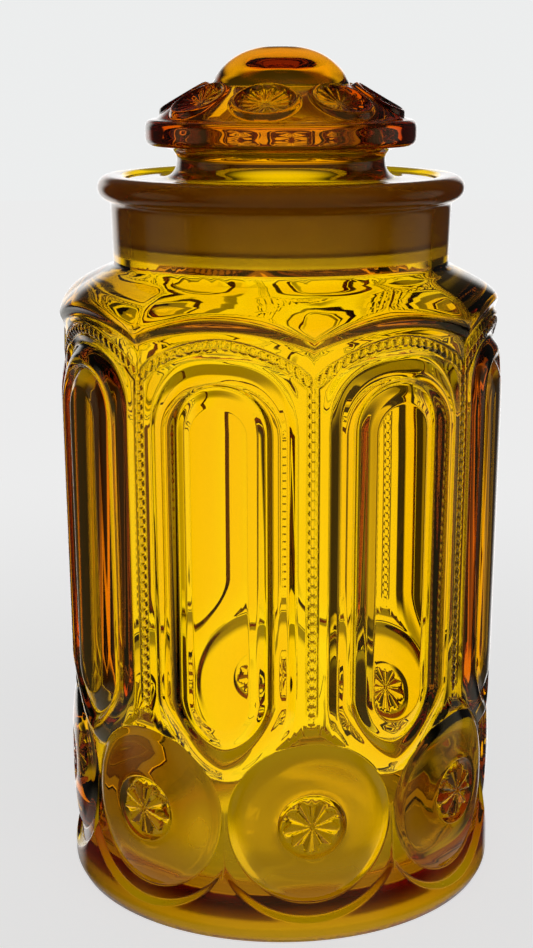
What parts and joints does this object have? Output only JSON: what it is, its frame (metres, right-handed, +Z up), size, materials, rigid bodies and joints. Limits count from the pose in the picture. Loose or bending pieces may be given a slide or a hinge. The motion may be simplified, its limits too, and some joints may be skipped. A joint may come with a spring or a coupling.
{
  "type": "storage jar with ground-in lid",
  "caption": "Tall pressed-glass apothecary-style storage jar with arched panels and round bosses, and a hollow ground-in lid that lifts out.",
  "frame": {"origin": "on the jar's axis, on the surface it stands on", "axes": "+Z up along the jar's axis, -Y towards the middle of one round boss"},
  "size_m": [0.152, 0.152, 0.289],
  "materials": {
    "amber_glass": "pressed, fire-polished, with a ground mouth",
    "dark_amber_glass": "pressed, fire-polished, with a ground plug"
  },
  "bodies": {
    "jar": {"jar_body": "amber_glass"},
    "lid": {"lid": "dark_amber_glass"}
  },
  "joints": [
    {"name": "lid_lift", "type": "slide", "parent": "jar", "child": "lid", "axis": [0, 0, 1], "range_m": [0, 0.045]}
  ]
}
